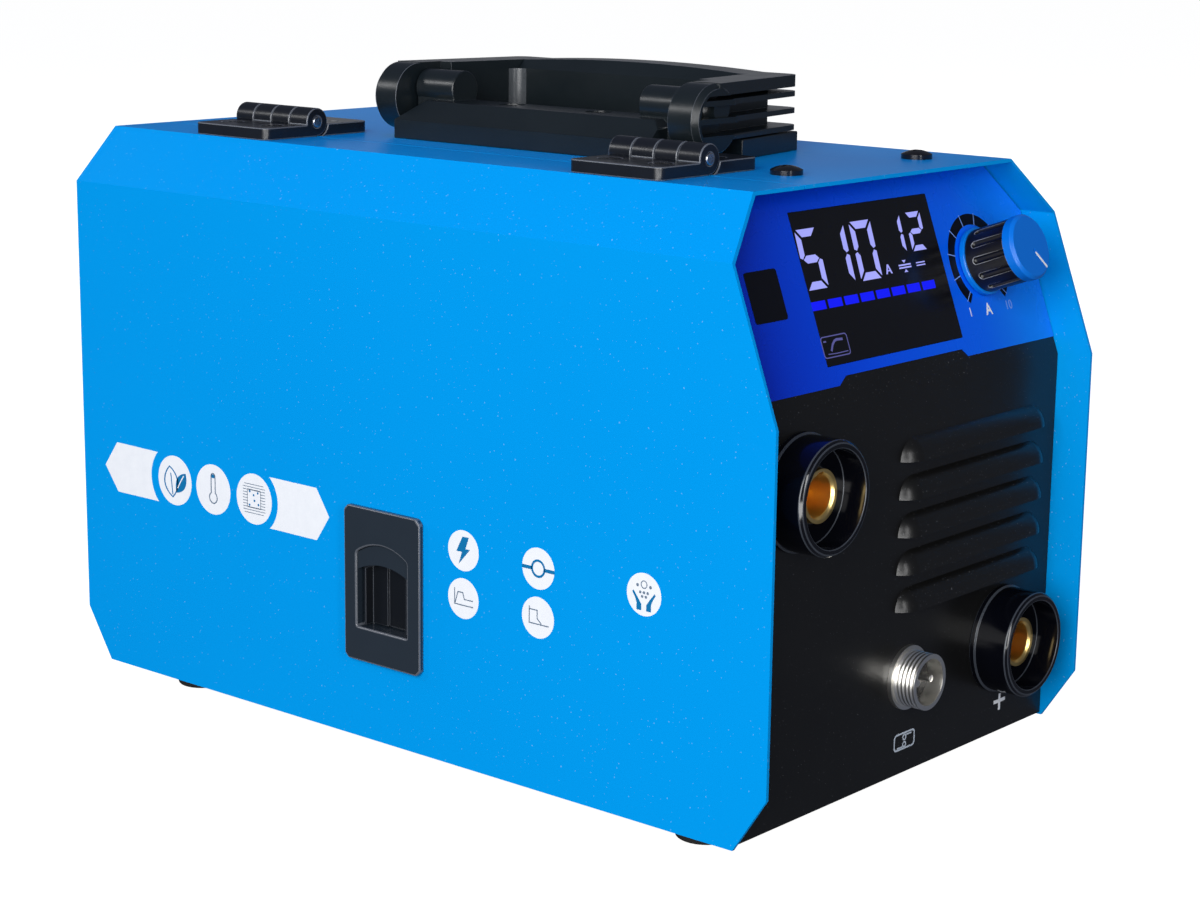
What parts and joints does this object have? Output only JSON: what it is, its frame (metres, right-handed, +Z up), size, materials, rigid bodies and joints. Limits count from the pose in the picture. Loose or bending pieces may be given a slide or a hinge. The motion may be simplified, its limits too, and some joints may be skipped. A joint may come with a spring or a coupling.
{
  "type": "mig welding machine",
  "caption": "Portable wire welding power source in a folded steel case, with side door over a wire bay, folding carry handle, leaning display panel, control knob and two sockets.",
  "frame": {"origin": "under the middle of the casing, in the plane of the soles of the feet", "axes": "+X to the right seen from the front panel, +Y from the front panel to the rear panel, +Z up"},
  "size_m": [0.1876, 0.3254, 0.2358],
  "materials": {
    "blue_paint": "satin powder coat",
    "black_paint": "satin black paint",
    "blue_film": "printed polyester film",
    "zinc_sheet": "zinc-plated sheet",
    "bright_steel": "bright",
    "black_screw": "black oxide",
    "black_plastic": "fine-grained nylon",
    "gloss_black": "moulded",
    "display_glass": "smoked window",
    "blue_cap": "moulded",
    "brass": "turned",
    "nickel": "nickel-plated thread",
    "circuit_board": "solder mask",
    "cast_alloy": "extruded or die-cast",
    "roller_steel": "ground",
    "motor_steel": "rolled can",
    "rubber": "matte",
    "red_plastic": "moulded",
    "spool_plastic": "moulded",
    "copper_wire": "copper-coated wire",
    "ferrite": "pressed core",
    "capacitor_sleeve": "shrink sleeve"
  },
  "bodies": {
    "casing": {"base_plate": "zinc_sheet", "feet": "rubber", "front_panel": "black_paint", "panel_film": "blue_film", "rear_panel": "blue_paint", "cover": "blue_paint", "divider_panel": "zinc_sheet", "front_cover_leaf": "black_paint", "rear_cover_leaf": "black_paint", "hinge_pins": "bright_steel", "cover_leaf_screws": "black_screw", "roof_screws": "black_screw", "side_screws": "black_screw", "latch_keeper": "zinc_sheet", "handle_base": "black_plastic", "handle_pins": "bright_steel", "handle_screws": "bright_steel", "display_window": "display_glass", "display_board": "circuit_board", "torch_socket_shroud": "gloss_black", "torch_socket_brass": "brass", "work_socket_shroud": "gloss_black", "work_socket_brass": "brass", "socket_nuts": "bright_steel", "connector_shell": "nickel", "connector_insulator": "black_plastic", "connector_pins": "brass", "connector_nut": "bright_steel", "feeder_plate": "cast_alloy", "gear_motor": "motor_steel", "spool_hub": "black_plastic", "hub_nut": "black_plastic", "heat_sink": "cast_alloy", "power_board": "circuit_board", "transformer": "ferrite", "capacitors": "capacitor_sleeve", "fan_frame": "black_plastic", "switch_housing": "gloss_black", "cable_gland": "black_plastic", "gas_inlet": "brass"},
    "side_door": {"door": "blue_paint", "front_door_leaf": "black_paint", "rear_door_leaf": "black_paint", "door_leaf_screws": "black_screw", "latch_plate": "black_plastic", "latch_spring": "bright_steel"},
    "latch": {"latch_slider": "black_plastic"},
    "grip": {"carry_handle": "black_plastic"},
    "knob": {"knob_body": "black_plastic", "knob_cap": "blue_cap", "knob_shaft": "bright_steel"},
    "drive": {"drive_roller": "roller_steel"},
    "arm": {"pressure_arm": "black_plastic"},
    "idler": {"pressure_roller": "roller_steel"},
    "tension": {"tension_knob": "red_plastic"},
    "spool": {"wire_spool": "spool_plastic", "wire_winding": "copper_wire"},
    "fan": {"fan_rotor": "black_plastic"},
    "rocker": {"switch_rocker": "red_plastic"}
  },
  "joints": [
    {"name": "door_hinge", "type": "hinge", "parent": "casing", "child": "side_door", "pos_m": [-0.047, 0, 0.2132], "axis": [0, 1, 0], "range_deg": [0, 110]},
    {"name": "latch_slide", "type": "slide", "parent": "side_door", "child": "latch", "axis": [0, 0, 1], "range_m": [0, 0.006], "stiffness_N_per_m": 300, "springref_m": -0.004, "deforming": ["latch_spring"]},
    {"name": "handle_fold", "type": "hinge", "parent": "casing", "child": "grip", "pos_m": [-0.013, -0.0044, 0.2255], "axis": [0, -1, 0], "range_deg": [0, 90]},
    {"name": "knob_turn", "type": "hinge", "parent": "casing", "child": "knob", "pos_m": [0.0553, -0.13558, 0.17391], "axis": [0, -0.9379, 0.3468], "range_deg": [0, 285]},
    {"name": "drive_spin", "type": "hinge", "parent": "casing", "child": "drive", "pos_m": [-0.062, -0.095, 0.1036], "axis": [1, 0, 0], "continuous": true},
    {"name": "arm_lift", "type": "hinge", "parent": "casing", "child": "arm", "pos_m": [-0.0555, -0.122, 0.133], "axis": [1, 0, 0], "range_deg": [0, 45]},
    {"name": "pressure_spin", "type": "hinge", "parent": "arm", "child": "idler", "pos_m": [-0.062, -0.095, 0.1254], "axis": [1, 0, 0], "continuous": true},
    {"name": "tension_turn", "type": "hinge", "parent": "arm", "child": "tension", "pos_m": [-0.062, -0.066, 0.133], "axis": [0, 0, 1], "range_deg": [0, 270]},
    {"name": "spool_spin", "type": "hinge", "parent": "casing", "child": "spool", "pos_m": [-0.06, 0.076, 0.088], "axis": [1, 0, 0], "continuous": true},
    {"name": "fan_spin", "type": "hinge", "parent": "casing", "child": "fan", "pos_m": [0.034, 0.134, 0.114], "axis": [0, 1, 0], "continuous": true},
    {"name": "switch_rock", "type": "hinge", "parent": "casing", "child": "rocker", "pos_m": [0.034, 0.1477, 0.178], "axis": [1, 0, 0], "range_deg": [0, 16]}
  ],
  "couplings": [
    {"joint": "pressure_spin", "follows": "drive_spin", "ratio": -1.3333}
  ]
}
